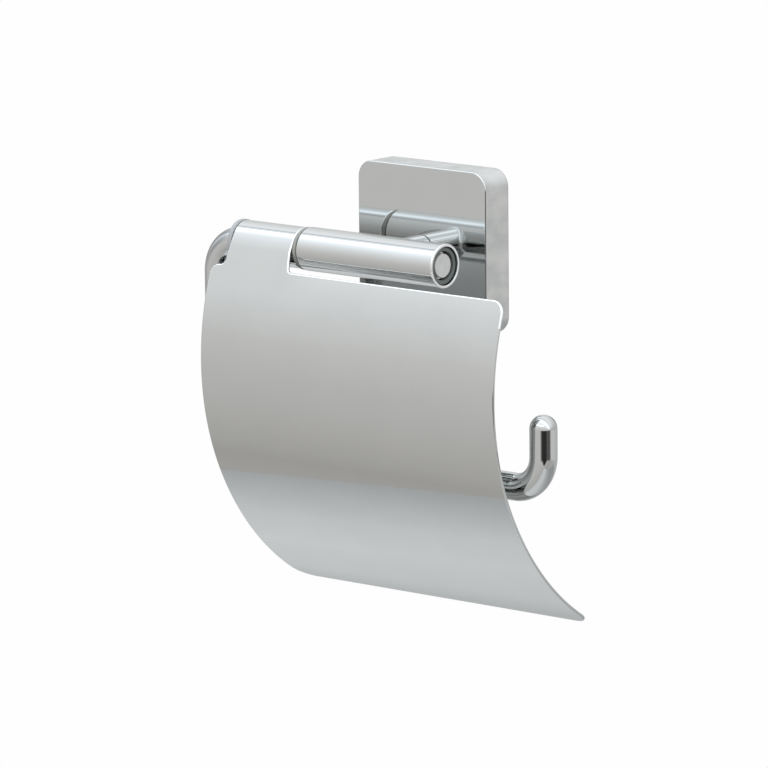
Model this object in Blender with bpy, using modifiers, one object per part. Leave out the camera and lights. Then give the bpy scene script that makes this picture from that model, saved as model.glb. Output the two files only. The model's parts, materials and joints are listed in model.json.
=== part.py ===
"""Toilet paper holder with a swinging lid, in metres, +Z up.

The wall is the plane Y = 0 and the room is on the -Y side. The origin is the middle of the wall bracket's
back. The cross tube, the top of the roll rod and the lid's barrel share one axis along X, the hinge axis.
"""

import math

import bmesh
import bpy
from mathutils import Vector

MM = 0.001
GAP = 0.3 * MM  # between pieces that touch
PAST = 2 * MM  # how far a cutter runs past a face
WELD = 0.01 * MM  # points closer than this are one

# Rosette, the square cover on the wall
PLATE = 60 * MM
PLATE_DEPTH = 13 * MM
PLATE_CORNER = 6.5 * MM
PLATE_EDGE = 0.5 * MM
PLATE_WALL = 3 * MM

# Wall bracket inside it
BRACKET = 50 * MM
BRACKET_DEPTH = 8 * MM
BRACKET_FLOOR = 3 * MM
BRACKET_CORNER = 4 * MM
BRACKET_RECESS_R = 7.5 * MM
WALL_SCREW_X = 15 * MM
WALL_SCREW_HOLE_R = 2.25 * MM
WALL_SCREW_SINK_R = 4.25 * MM

# Arm: a cross tube on a round post
AXIS_Y = -PLATE_DEPTH - 25 * MM
TUBE_R = 8 * MM
TUBE_BORE_R = 7 * MM
TUBE_LEFT = -31.6 * MM
TUBE_RIGHT = 32 * MM
TUBE_EDGE = 0.35 * MM
POST_R = 5 * MM
POST_FLARE = 2.2 * MM

# Screws, washer and pin
ARM_SCREW_R = 2 * MM
ARM_SCREW_HEAD_R = 4 * MM
ARM_SCREW_HEAD = 2.6 * MM
ARM_SCREW_TIP_Y = -26 * MM
SCREW_EDGE = 0.5 * MM
WASHER_R = 4.5 * MM
WASHER = 1 * MM
PIN_R = 0.7 * MM
PIN_Z = 3.6 * MM
PIN_LENGTH = 6.5 * MM
GRUB_R = 2 * MM
SOCKET_R = 1.15 * MM
SOCKET_DEPTH = 1.2 * MM
ROD_GRUB_X = 25 * MM

# Roll rod, bent down from the hinge axis, along under the roll, and up into a hook
ROD_R = 5 * MM
ROD_HALF = 76.5 * MM
ROD_DROP = 76 * MM
ROD_BEND = 12.5 * MM
ROD_END_X = 29.5 * MM
HOOK_TOP_Z = -48.6 * MM
HOOK_TIP_END = math.radians(85)  # how far round its ball end the hook is drawn
CAP_R = 4.35 * MM
CAP = 1.2 * MM
CAP_STEM_R = 2 * MM
CAP_STEM = 4 * MM

# Bushes and rings on the rod
BORE_R = ROD_R + GAP
BUSH_R = TUBE_BORE_R - GAP
BUSH_LENGTH = 11 * MM
BUSH_RECESS = 0.8 * MM
RING_R = 7.8 * MM
RING_GAP = 0.4 * MM  # from the spacer to the tube
LID_GAP = 0.6 * MM  # from the spacer to the lid
SPACER = 1.25 * MM
THRUST = 1.8 * MM
HINGE_BUSH_LENGTH = 9 * MM

# Lid: one sheet, curled round the rod at its tab
SHEET = 1.2 * MM
BARREL_R = 7.6 * MM
LID_HALF = 69 * MM
LID_ARC_R = 95 * MM
LID_LOW_ARC_R = 107 * MM
LID_LEAVES = math.radians(29.3)  # where the sheet leaves the barrel, above the horizontal
LID_CHANGE = math.radians(29)  # the sheet's slope where its lower arc begins, from straight down
LID_END = math.radians(62)  # its slope at the lower edge
CURL_TURN = math.radians(288)
TAB_LEFT = -62.8 * MM
TAB_RIGHT = TUBE_LEFT - RING_GAP - SPACER - LID_GAP
TAB_FLARE = 1.2 * MM  # how much wider the tab is at the right shoulder
TAB_FLARE_Z = -0.5 * MM
SHOULDER_Z = -7.2 * MM
TAB_FILLET_LEFT = 2.3 * MM
TAB_FILLET_RIGHT = 2 * MM
LID_CORNER_LEFT = 3.7 * MM
LID_CORNER_RIGHT = 5 * MM
LID_CORNER_BOTTOM = 7.5 * MM
SHOULDER_CUT = 60 * MM  # depth of the cutters beside the tab
CORNER_CUT = 10 * MM  # depth of the cutters at the lower corners

ROUND_STEPS = 48
BEND_STEPS = 9
CORNER_STEPS = 8
FILLET_STEPS = 6
SHEET_STEPS = 20
CURL_STEPS = 36
ALONG_X = (0, math.pi / 2, 0)
ALONG_Y = (-math.pi / 2, 0, 0)
FACING_X = (math.pi / 2, 0, math.pi / 2)  # an outline's x and y become world Y and Z
FACING_Y = (math.pi / 2, 0, 0)  # an outline's x and y become world X and Z
AXIS = Vector((0, AXIS_Y, 0))


# Scene and placing


def clear_scene():
    for thing in list(bpy.data.objects):
        bpy.data.objects.remove(thing, do_unlink=True)


def new_collection(name):
    made = bpy.data.collections.new(name)
    bpy.context.scene.collection.children.link(made)
    return made


def material(name, colour, metallic, roughness):
    made = bpy.data.materials.new(name)
    made.use_nodes = True
    shader = made.node_tree.nodes["Principled BSDF"]
    shader.inputs["Base Color"].default_value = (*colour, 1)
    shader.inputs["Metallic"].default_value = metallic
    shader.inputs["Roughness"].default_value = roughness
    return made


def empty(name, location, parent=None):
    made = bpy.data.objects.new(name, None)
    PARTS.objects.link(made)
    made.location = location
    made.parent = parent
    return made


def place(thing, location=(0, 0, 0), rotation=(0, 0, 0)):
    thing.location = location
    thing.rotation_euler = rotation
    return thing


def as_part(thing, look, parent):
    """Put a placed object with the parts, give it its material and hang it on its body."""
    PARTS.objects.link(thing)
    thing.data.materials.append(look)
    thing.parent = parent
    thing.location = thing.location - parent.location
    return thing


def combine(thing, other, how):
    CUTTERS.objects.link(other)
    other.hide_render = True
    other.display_type = "WIRE"
    step = thing.modifiers.new(other.name, "BOOLEAN")
    step.operation = how
    step.solver = "EXACT"
    step.object = other


def cut(thing, *cutters):
    for cutter in cutters:
        combine(thing, cutter, "DIFFERENCE")


# Shapes


def arc(centre, radius, start, end, steps):
    """Points on an arc, both ends included."""
    turns = [start + (end - start) * step / steps for step in range(steps + 1)]
    return [(centre[0] + radius * math.cos(turn), centre[1] + radius * math.sin(turn)) for turn in turns]


def turned(name, profile, closed=False):
    """A profile of (radius, height) points, down its outer side, turned about local Z."""
    shape = bmesh.new()
    points = [shape.verts.new((radius, 0, height)) for radius, height in profile]
    for first, second in zip(points, points[1:]):
        shape.edges.new((first, second))
    if closed:
        shape.edges.new((points[-1], points[0]))
    mesh = bpy.data.meshes.new(name)
    shape.to_mesh(mesh)
    shape.free()
    thing = bpy.data.objects.new(name, mesh)
    screw = thing.modifiers.new("turn", "SCREW")
    screw.steps = ROUND_STEPS
    screw.render_steps = ROUND_STEPS
    screw.use_merge_vertices = True
    screw.merge_threshold = WELD
    return thing


def pin(name, radius, start, end, edge=0.0):
    """A turned cylinder between two heights, with chamfered ends if it has an edge."""
    if not edge:
        return turned(name, [(0, end), (radius, end), (radius, start), (0, start)])
    top = [(0, end), (radius - edge, end), (radius, end - edge)]
    bottom = [(radius, start + edge), (radius - edge, start), (0, start)]
    return turned(name, top + bottom)


def ring(name, bore, radius, start, end):
    return turned(name, [(radius, end), (radius, start), (bore, start), (bore, end)], closed=True)


def socket(name, start, end):
    """A six-sided prism between two heights, the cutter of a hex socket."""
    shape = bmesh.new()
    bmesh.ops.create_cone(
        shape, cap_ends=True, segments=6, radius1=SOCKET_R, radius2=SOCKET_R, depth=end - start
    )
    bmesh.ops.translate(shape, vec=(0, 0, (start + end) / 2), verts=shape.verts)
    mesh = bpy.data.meshes.new(name)
    shape.to_mesh(mesh)
    shape.free()
    return bpy.data.objects.new(name, mesh)


def rounded_block(name, side, depth, corner, edge=0.0):
    """A square block with its back at Y = 0, its four edges along Y rounded, and its front rim too."""
    shape = bmesh.new()
    bmesh.ops.create_cube(shape, size=1)
    bmesh.ops.scale(shape, vec=(side, depth, side), verts=shape.verts)
    bmesh.ops.translate(shape, vec=(0, -depth / 2, 0), verts=shape.verts)
    along_y = [e for e in shape.edges if abs(e.verts[0].co.y - e.verts[1].co.y) > depth / 2]
    bmesh.ops.bevel(shape, geom=along_y, offset=corner, segments=CORNER_STEPS, profile=0.5, affect="EDGES")
    if edge:
        front = [e for e in shape.edges if max(v.co.y for v in e.verts) < edge - depth]
        bmesh.ops.bevel(shape, geom=front, offset=edge, segments=2, profile=0.5, affect="EDGES")
    mesh = bpy.data.meshes.new(name)
    shape.to_mesh(mesh)
    shape.free()
    return bpy.data.objects.new(name, mesh)


def mesh_of_curve(name, curve):
    """A curve's own solid as a mesh object, with its caps joined to its sides."""
    drawn = bpy.data.objects.new(name, curve)
    bpy.context.scene.collection.objects.link(drawn)
    seen = drawn.evaluated_get(bpy.context.evaluated_depsgraph_get())
    mesh = bpy.data.meshes.new_from_object(seen)
    bpy.data.objects.remove(drawn, do_unlink=True)
    shape = bmesh.new()
    shape.from_mesh(mesh)
    bmesh.ops.remove_doubles(shape, verts=shape.verts, dist=WELD)
    bmesh.ops.recalc_face_normals(shape, faces=shape.faces)
    shape.to_mesh(mesh)
    shape.free()
    return bpy.data.objects.new(name, mesh)


def outline_solid(name, outline, depth):
    """A flat closed outline made solid, half of its depth to each side of its plane."""
    curve = bpy.data.curves.new(name, "CURVE")
    curve.dimensions = "2D"
    curve.fill_mode = "BOTH"
    curve.extrude = depth / 2
    spline = curve.splines.new("POLY")
    spline.points.add(len(outline) - 1)
    for point, (x, y) in zip(spline.points, outline):
        point.co = (x, y, 0, 1)
    spline.use_cyclic_u = True
    return mesh_of_curve(name, curve)


def wire_solid(name, path, radius):
    """A round bar along (point, share of the radius) pairs."""
    curve = bpy.data.curves.new(name, "CURVE")
    curve.dimensions = "3D"
    curve.bevel_depth = radius
    curve.bevel_resolution = 8
    curve.use_fill_caps = True
    spline = curve.splines.new("POLY")
    spline.points.add(len(path) - 1)
    for point, (place_at, share) in zip(spline.points, path):
        point.co = (*place_at, 1)
        point.radius = share
    return mesh_of_curve(name, curve)


# Fixed pieces at the wall


def make_wall_bracket(look, body):
    bracket = rounded_block("wall_bracket", BRACKET, BRACKET_DEPTH, BRACKET_CORNER)
    recess = pin("bracket_recess", BRACKET_RECESS_R, -BRACKET_DEPTH - PAST, -BRACKET_FLOOR)
    cut(bracket, place(recess, rotation=ALONG_Y))
    sink_end = -BRACKET_DEPTH + WALL_SCREW_SINK_R - WALL_SCREW_HOLE_R
    for side, x in (("left", -WALL_SCREW_X), ("right", WALL_SCREW_X)):
        profile = [
            (0, PAST),
            (WALL_SCREW_HOLE_R, PAST),
            (WALL_SCREW_HOLE_R, sink_end),
            (WALL_SCREW_SINK_R, -BRACKET_DEPTH),
            (WALL_SCREW_SINK_R, -BRACKET_DEPTH - PAST),
            (0, -BRACKET_DEPTH - PAST),
        ]
        cut(bracket, place(turned(f"wall_screw_hole_{side}", profile), (x, 0, 0), ALONG_Y))
    return as_part(bracket, look, body)


def make_rosette(look, body):
    rosette = rounded_block("rosette", PLATE, PLATE_DEPTH, PLATE_CORNER, PLATE_EDGE)
    inside = rounded_block(
        "rosette_inside", PLATE - 2 * PLATE_WALL, PLATE_DEPTH - PLATE_WALL + PAST, PLATE_CORNER - PLATE_WALL
    )
    cut(rosette, place(inside, (0, PAST, 0)))
    screw_hole = pin("rosette_screw_hole", ARM_SCREW_R + GAP, -PLATE_DEPTH - PAST, 0)
    cut(rosette, place(screw_hole, rotation=ALONG_Y))
    pin_hole = pin("rosette_pin_hole", PIN_R + GAP, -PLATE_DEPTH - PAST, 0)
    cut(rosette, place(pin_hole, (0, 0, PIN_Z), ALONG_Y))
    grub_hole = pin("rosette_grub_hole", GRUB_R + GAP, -PLATE / 2 - PAST, -PLATE / 2 + PLATE_WALL + PAST)
    cut(rosette, place(grub_hole, (0, -BRACKET_DEPTH / 2, 0)))
    return as_part(rosette, look, body)


def make_rosette_grub(look, body):
    start = -PLATE / 2 + SCREW_EDGE
    grub = pin("rosette_grub_screw", GRUB_R, start, -BRACKET / 2 - GAP, SCREW_EDGE)
    middle = (0, -BRACKET_DEPTH / 2, 0)
    cut(grub, place(socket("rosette_grub_socket", start - PAST, start + SOCKET_DEPTH), middle))
    return as_part(place(grub, middle), look, body)


def make_arm_washer(look, body):
    top = -PLATE_DEPTH + PLATE_WALL + GAP + WASHER
    washer = ring("arm_washer", ARM_SCREW_R + GAP, WASHER_R, top - WASHER, top)
    return as_part(place(washer, rotation=ALONG_Y), look, body)


def make_arm_screw(look, body):
    under_head = -PLATE_DEPTH + PLATE_WALL + 2 * GAP + WASHER
    head = under_head + ARM_SCREW_HEAD
    profile = [
        (0, head),
        (ARM_SCREW_HEAD_R - SCREW_EDGE, head),
        (ARM_SCREW_HEAD_R, head - SCREW_EDGE),
        (ARM_SCREW_HEAD_R, under_head),
        (ARM_SCREW_R, under_head),
        (ARM_SCREW_R, ARM_SCREW_TIP_Y + SCREW_EDGE),
        (ARM_SCREW_R - SCREW_EDGE, ARM_SCREW_TIP_Y),
        (0, ARM_SCREW_TIP_Y),
    ]
    screw = turned("arm_screw", profile)
    cut(screw, place(socket("arm_screw_socket", head - SOCKET_DEPTH, head + PAST), rotation=ALONG_Y))
    return as_part(place(screw, rotation=ALONG_Y), look, body)


def make_locating_pin(look, body):
    start = -PLATE_DEPTH + PLATE_WALL - GAP
    locating = pin("locating_pin", PIN_R, start - PIN_LENGTH, start)
    return as_part(place(locating, (0, 0, PIN_Z), ALONG_Y), look, body)


# Arm and roll rod


def post_profile():
    """The post from the rosette down to the tube's middle, flaring where it meets the tube."""
    front = -PLATE_DEPTH - GAP
    tube_back = AXIS_Y + TUBE_R
    flare = arc((POST_R + POST_FLARE, tube_back + POST_FLARE), POST_FLARE, math.pi, 1.5 * math.pi, FILLET_STEPS)
    return [(0, front), (POST_R, front), *flare, (POST_R + POST_FLARE, AXIS_Y + POST_R), (0, AXIS_Y + POST_R)]


def make_arm(look, body):
    arm = pin("arm", TUBE_R, TUBE_LEFT, TUBE_RIGHT, TUBE_EDGE)
    combine(arm, place(turned("post", post_profile()), rotation=ALONG_Y), "UNION")
    cut(
        arm,
        place(pin("arm_bore", TUBE_BORE_R, TUBE_LEFT - PAST, TUBE_RIGHT + PAST), AXIS, ALONG_X),
        place(pin("arm_screw_hole", ARM_SCREW_R + GAP, ARM_SCREW_TIP_Y - GAP, 0), rotation=ALONG_Y),
        place(
            pin("arm_pin_hole", PIN_R + GAP, -PLATE_DEPTH + PLATE_WALL - PIN_LENGTH - 2 * GAP, 0),
            (0, 0, PIN_Z),
            ALONG_Y,
        ),
        place(pin("arm_grub_hole", GRUB_R + GAP, -TUBE_R - PAST, -BORE_R), (ROD_GRUB_X, AXIS_Y, 0)),
    )
    return as_part(place(arm, AXIS, ALONG_X), look, body)


def make_tube_bushes(look, body):
    left = ring("tube_bush_left", BORE_R, BUSH_R, TUBE_LEFT + GAP, TUBE_LEFT + GAP + BUSH_LENGTH)
    as_part(place(left, AXIS, ALONG_X), look, body)
    face = TUBE_RIGHT - BUSH_RECESS
    right = ring("tube_bush_right", BORE_R, BUSH_R, face - BUSH_LENGTH, face)
    grub_hole = pin("bush_grub_hole", GRUB_R + GAP, -TUBE_R, -ROD_R)
    cut(right, place(grub_hole, (ROD_GRUB_X, AXIS_Y, 0)))
    as_part(place(right, AXIS, ALONG_X), look, body)


def make_rod_grub(look, body):
    start = -TUBE_R + GAP
    grub = pin("rod_grub_screw", GRUB_R, start, -BORE_R)
    cut(grub, place(socket("rod_grub_socket", start - PAST, start + SOCKET_DEPTH), (ROD_GRUB_X, AXIS_Y, 0)))
    return as_part(place(grub, (ROD_GRUB_X, AXIS_Y, 0)), look, body)


def rod_path():
    """The rod's middle line as (point, share of its radius) pairs, ending in a round tip."""
    inner = ROD_HALF - ROD_BEND
    low = ROD_BEND - ROD_DROP
    outline = [(ROD_END_X, 0)]
    outline += arc((-inner, -ROD_BEND), ROD_BEND, math.pi / 2, math.pi, BEND_STEPS)
    outline += arc((-inner, low), ROD_BEND, math.pi, 1.5 * math.pi, BEND_STEPS)
    outline += arc((inner, low), ROD_BEND, 1.5 * math.pi, 2 * math.pi, BEND_STEPS)
    path = [((x, 0, z), 1) for x, z in outline]
    for share, rise in arc((0, 0), 1, 0, HOOK_TIP_END, FILLET_STEPS):
        path.append(((ROD_HALF, 0, HOOK_TOP_Z - ROD_R + ROD_R * rise), share))
    return path


def make_roll_rod(look, body):
    rod = wire_solid("roll_rod", rod_path(), ROD_R)
    stem_hole = pin("cap_stem_hole", CAP_STEM_R + GAP, ROD_END_X - CAP_STEM - GAP, ROD_END_X + PAST)
    cut(rod, place(stem_hole, AXIS, ALONG_X))
    return as_part(place(rod, AXIS), look, body)


def make_rod_cap(look, body):
    start = ROD_END_X + GAP
    profile = [
        (0, start + CAP),
        (CAP_R - TUBE_EDGE, start + CAP),
        (CAP_R, start + CAP - TUBE_EDGE),
        (CAP_R, start),
        (CAP_STEM_R, start),
        (CAP_STEM_R, start - CAP_STEM),
        (0, start - CAP_STEM),
    ]
    return as_part(place(turned("rod_end_cap", profile), AXIS, ALONG_X), look, body)


def make_rings(look, body):
    spacer = ring("spacer_ring", BORE_R, RING_R, TUBE_LEFT - RING_GAP - SPACER, TUBE_LEFT - RING_GAP)
    as_part(place(spacer, AXIS, ALONG_X), look, body)
    thrust = ring("thrust_ring", BORE_R, RING_R, TAB_LEFT - GAP - THRUST, TAB_LEFT - GAP)
    as_part(place(thrust, AXIS, ALONG_X), look, body)


# Lid


def lid_section():
    """The sheet's closed section from the hinge axis, as Y and Z: the swept arc and the curl round the rod."""
    away = LID_ARC_R - BARREL_R
    centre = (away * math.cos(LID_LEAVES), -away * math.sin(LID_LEAVES))
    apart = LID_LOW_ARC_R - LID_ARC_R
    low_centre = (centre[0] + apart * math.cos(LID_CHANGE), centre[1] + apart * math.sin(LID_CHANGE))
    start, change, leaves = math.pi + LID_END, math.pi + LID_CHANGE, math.pi - LID_LEAVES
    curl_end = leaves - CURL_TURN
    front = arc(low_centre, LID_LOW_ARC_R, start, change, SHEET_STEPS)
    front += arc(centre, LID_ARC_R, change, leaves, SHEET_STEPS)[1:]
    curl_outside = arc((0, 0), BARREL_R, leaves, curl_end, CURL_STEPS)
    curl_inside = arc((0, 0), BARREL_R - SHEET, curl_end, leaves, CURL_STEPS)
    back = arc(centre, LID_ARC_R - SHEET, leaves, change, SHEET_STEPS)
    back += arc(low_centre, LID_LOW_ARC_R - SHEET, change, start, SHEET_STEPS)[1:]
    return front + curl_outside[1:] + curl_inside + back[1:]


def lid_tip():
    """The middle of the front surface's lower edge, from the hinge axis."""
    y, z = lid_section()[0]
    return Vector((0, y, z))


def shoulder_outline(side, edge, flare, fillet, corner):
    """What is cut away beside the tab, above the shoulder, as X and Z for one side."""
    past = LID_HALF + 5 * PAST
    high = 2 * BARREL_R
    start = side * edge
    outline = [(start, high), (start, TAB_FLARE_Z)]
    start += flare
    outline += arc((start + fillet, SHOULDER_Z + fillet), fillet, math.pi, 1.5 * math.pi, FILLET_STEPS)
    outline += arc((LID_HALF - corner, SHOULDER_Z - corner), corner, math.pi / 2, 0, CORNER_STEPS)
    outline += [(past, SHOULDER_Z - corner), (past, high)]
    return [(side * x, z) for x, z in outline]


def bottom_corner(name, side):
    """What rounds one lower corner off, cut square to the sheet at its lower edge."""
    size = LID_CORNER_BOTTOM
    outline = [(-size, PAST)]
    outline += arc((-size, -size), size, math.pi / 2, 0, CORNER_STEPS)
    outline += [(PAST, -size), (PAST, PAST)]
    cutter = outline_solid(name, [(side * x, y) for x, y in outline], CORNER_CUT)
    corner = AXIS + lid_tip() + Vector((side * LID_HALF, 0, 0))
    return place(cutter, corner, (LID_END - math.pi / 2, 0, 0))


def make_lid(look, body):
    lid = outline_solid("lid", lid_section(), 2 * LID_HALF)
    sides = (
        ("left", -1, TAB_LEFT, 0, TAB_FILLET_LEFT, LID_CORNER_LEFT),
        ("right", 1, TAB_RIGHT, TAB_FLARE, TAB_FILLET_RIGHT, LID_CORNER_RIGHT),
    )
    for name, side, edge, flare, fillet, corner in sides:
        outline = shoulder_outline(side, edge, flare, fillet, corner)
        shoulder = outline_solid(f"lid_shoulder_{name}", outline, SHOULDER_CUT)
        ends = sorted((edge, side * (LID_HALF + PAST)))
        curl = pin(f"lid_curl_{name}", BARREL_R + GAP, *ends)
        cut(lid, place(shoulder, AXIS, FACING_Y), place(curl, AXIS, ALONG_X))
        cut(lid, bottom_corner(f"lid_bottom_{name}", side))
    return as_part(place(lid, AXIS, FACING_X), look, body)


def make_hinge_bushes(look, body):
    radius = BARREL_R - SHEET - GAP
    starts = (("left", TAB_LEFT + GAP), ("right", TAB_RIGHT - GAP - HINGE_BUSH_LENGTH))
    for name, start in starts:
        bush = ring(f"hinge_bush_{name}", BORE_R, radius, start, start + HINGE_BUSH_LENGTH)
        as_part(place(bush, AXIS, ALONG_X), look, body)


clear_scene()
PARTS = new_collection("toilet_paper_holder")
CUTTERS = new_collection("cutters")

chrome = material("polished_chrome", (0.78, 0.79, 0.8), 1, 0.06)
zinc = material("cast_zinc", (0.42, 0.43, 0.44), 1, 0.5)
steel = material("screw_steel", (0.52, 0.52, 0.53), 1, 0.35)
grey_plastic = material("grey_plastic", (0.16, 0.18, 0.17), 0, 0.5)
pale_plastic = material("pale_plastic", (0.53, 0.54, 0.53), 0, 0.55)

holder = empty("holder", (0, 0, 0))
lid_pivot = empty("lid_pivot", AXIS)

make_wall_bracket(zinc, holder)
make_rosette(chrome, holder)
make_rosette_grub(steel, holder)
make_arm_washer(steel, holder)
make_arm_screw(steel, holder)
make_locating_pin(steel, holder)
make_arm(chrome, holder)
make_tube_bushes(grey_plastic, holder)
make_rod_grub(steel, holder)
make_roll_rod(chrome, holder)
make_rod_cap(pale_plastic, holder)
make_rings(pale_plastic, holder)
make_lid(chrome, lid_pivot)
make_hinge_bushes(grey_plastic, lid_pivot)
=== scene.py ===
"""Looks of the toilet paper holder with a swinging lid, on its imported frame.

Metres, +Z up, the wall at Y = 0 and the front towards -Y.
"""

import json
import math

import bpy
import numpy as np
from mathutils import Matrix, Vector


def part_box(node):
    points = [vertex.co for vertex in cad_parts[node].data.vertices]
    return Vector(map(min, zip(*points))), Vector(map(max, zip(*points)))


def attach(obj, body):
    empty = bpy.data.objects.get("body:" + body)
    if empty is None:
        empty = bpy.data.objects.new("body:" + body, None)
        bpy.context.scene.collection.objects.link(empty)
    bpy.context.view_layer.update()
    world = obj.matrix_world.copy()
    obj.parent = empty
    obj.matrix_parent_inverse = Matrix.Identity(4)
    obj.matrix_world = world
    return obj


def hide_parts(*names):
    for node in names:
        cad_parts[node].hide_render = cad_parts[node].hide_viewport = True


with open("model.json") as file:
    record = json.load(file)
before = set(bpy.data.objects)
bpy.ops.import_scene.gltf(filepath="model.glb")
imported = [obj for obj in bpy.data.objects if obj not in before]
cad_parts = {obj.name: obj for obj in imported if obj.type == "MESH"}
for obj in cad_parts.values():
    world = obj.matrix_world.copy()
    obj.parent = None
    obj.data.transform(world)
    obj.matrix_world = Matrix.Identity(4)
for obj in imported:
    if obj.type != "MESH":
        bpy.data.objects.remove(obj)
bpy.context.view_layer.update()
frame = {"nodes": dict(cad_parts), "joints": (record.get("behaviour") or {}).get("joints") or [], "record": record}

MM = 0.001
X, Y, Z = np.eye(3)

# Places and sizes read from the frame
HINGE = frame["joints"][0]["pos_m"]
AXIS = np.array([0, HINGE[1], HINGE[2]])
BOX = {name: [np.array(corner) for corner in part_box(name)] for name in frame["nodes"]}
TUBE_R = BOX["arm"][1][2]
TUBE_LEFT, TUBE_RIGHT = BOX["arm"][0][0], BOX["arm"][1][0]
POST_FOOT_Y = BOX["arm"][1][1]
PLATE_HALF = BOX["rosette"][1][0]
PLATE_FRONT_Y = BOX["rosette"][0][1]
ROD_LOW, ROD_HIGH = BOX["roll_rod"]
ROD_R = (ROD_HIGH[1] - ROD_LOW[1]) / 2
LID_HALF = BOX["lid"][1][0]
BARREL_R = 7.6 * MM
GAP = 0.3 * MM
TAB_LEFT = BOX["hinge_bush_left"][0][0] - GAP
TAB_RIGHT = BOX["hinge_bush_right"][1][0] + GAP

# Shapes that the boxes don't give, as in the CAD
SHEET = 1.2 * MM
LID_ARC_R = 95 * MM
LID_LOW_ARC_R = 107 * MM
LID_LEAVES = math.radians(29.3)
LID_CHANGE = math.radians(29)
LID_END = math.radians(62)
CURL_TURN = math.radians(288)
SHOULDER_Z = -7.2 * MM
TAB_FLARE = 1.2 * MM
TAB_FLARE_Z = -0.5 * MM
TAB_FILLETS = (2.3 * MM, 2 * MM)
TOP_CORNERS = (3.7 * MM, 5 * MM)
BOTTOM_CORNER = 7.5 * MM
SHEET_EDGE = 0.5 * MM
EDGE_STEPS = 6
PAINTED_HIGHLIGHT_EDGE_Z = -18 * MM  # above this the front half of the sheet's cut edge gets the paler edge metal, a painted highlight
PLATE_CORNER = 6.5 * MM
PLATE_EDGE = 0.5 * MM
PLATE_WALL = 3 * MM
POST_R = 5 * MM
POST_FILLET = 2.2 * MM
TUBE_BORE_R = 7 * MM
TUBE_EDGE = 0.35 * MM
GRUB_HOLE_R = 2.3 * MM
GRUB_BLOCK = 3.6 * MM  # half of the square of mesh round that hole in the rosette
ARM_HOLE_R = 2.3 * MM
ARM_HOLE_END_Y = -26.3 * MM
SCREW_R = 2 * MM
SOCKET_R = 1.15 * MM
SOCKET_DEPTH = 1.2 * MM
GRUB_X = (BOX["rod_grub_screw"][0][0] + BOX["rod_grub_screw"][1][0]) / 2
ROD_BEND = 12.5 * MM
ROD_END_X = BOX["rod_end_cap"][1][0] - 1.5 * MM
HOOK_TOP_Z = -48.6 * MM
ROD_HOLE_R = 2.3 * MM
ROD_HOLE_DEPTH = 4.3 * MM
SOFT = 0.15 * MM  # a small rounding on edges

ROUND = 126  # points round a turned piece, a multiple of six for its sockets


# Meshes with exact normals


class Shape:
    """Patches of points with their normals, welded into one mesh."""

    def __init__(self):
        self.points, self.normals, self.faces, self.slots, self.count = [], [], [], [], 0

    def patch(self, points, normals, around=False, keep=None, slot=0):
        """A grid of points as rows and columns. keep says which of its cells are wanted."""
        rows, columns = points.shape[:2]
        index = self.count + np.arange(rows * columns).reshape(rows, columns)
        if around:
            index = np.hstack([index, index[:, :1]])
        cells = np.stack([index[:-1, :-1], index[:-1, 1:], index[1:, 1:], index[1:, :-1]], axis=-1)
        self.points.append(points.reshape(-1, 3))
        self.normals.append(normals.reshape(-1, 3))
        self.faces.append(cells.reshape(-1, 4) if keep is None else cells[keep])
        self.slots.append(np.full(len(self.faces[-1]), slot))
        self.count += rows * columns

    def piece(self, name, looks, body, *nodes):
        """The object with a material for each slot, riding on its body in place of the CAD nodes."""
        points, faces = np.concatenate(self.points), np.concatenate(self.faces)
        normals, slots = np.concatenate(self.normals), np.concatenate(self.slots)
        keys = np.floor(points / 1e-7 + 0.137).astype(np.int64)
        _, first, where = np.unique(keys, axis=0, return_index=True, return_inverse=True)
        where = where.reshape(-1)
        corners = points[faces]
        across = np.cross(corners[:, 2] - corners[:, 0], corners[:, 3] - corners[:, 1])
        inward = np.einsum("ij,ij->i", across, normals[faces].sum(axis=1)) < 0
        faces[inward] = faces[inward][:, ::-1]
        made_faces, made_normals, made_slots = [], [], []
        for face, slot in zip(faces, slots):
            welded, kept = where[face], []
            for corner in range(4):
                if welded[corner] != welded[corner - 1]:
                    kept.append(corner)
            if len(kept) > 2 and len(set(welded[kept])) == len(kept):
                made_faces.append(welded[kept].tolist())
                made_normals.extend(normals[face[kept]].tolist())
                made_slots.append(slot)
        mesh = bpy.data.meshes.new(name)
        mesh.from_pydata(points[first].tolist(), [], made_faces)
        mesh.shade_smooth()
        mesh.normals_split_custom_set(made_normals)
        for look in looks:
            mesh.materials.append(look)
        mesh.polygons.foreach_set("material_index", made_slots)
        thing = bpy.data.objects.new(name, mesh)
        bpy.context.scene.collection.objects.link(thing)
        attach(thing, body)
        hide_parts(*nodes)
        return thing


def unit(vectors):
    return vectors / np.linalg.norm(vectors, axis=-1, keepdims=True)


def rounded(corners, closed=False, steps=5):
    """A polyline of (x, y, radius) corners as points and left-hand normals, turning on each radius."""
    spots = np.array([corner[:2] for corner in corners], float)
    made = []
    last = len(corners) - 1
    for at, (_, _, radius) in enumerate(corners):
        before = unit(spots[at] - spots[at - 1]) if at or closed else None
        after = unit(spots[(at + 1) % len(spots)] - spots[at]) if at < last or closed else None
        if before is None or after is None:
            only = after if before is None else before
            made.append((spots[at], (-only[1], only[0])))
            continue
        turn = math.atan2(before[0] * after[1] - before[1] * after[0], before @ after)
        side = math.copysign(1, turn)
        start = spots[at] - before * radius * abs(math.tan(turn / 2))
        facing = np.array([-before[1], before[0]])
        centre = start + side * radius * facing
        for step in range(steps + 1) if radius else (0, steps):
            angle = turn * step / steps
            normal = np.array(
                [
                    facing[0] * math.cos(angle) - facing[1] * math.sin(angle),
                    facing[0] * math.sin(angle) + facing[1] * math.cos(angle),
                ]
            )
            made.append((centre - side * radius * normal, normal))
    if closed:
        made.append(made[0])
    return np.array([spot for spot, _ in made]), np.array([normal for _, normal in made])


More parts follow.
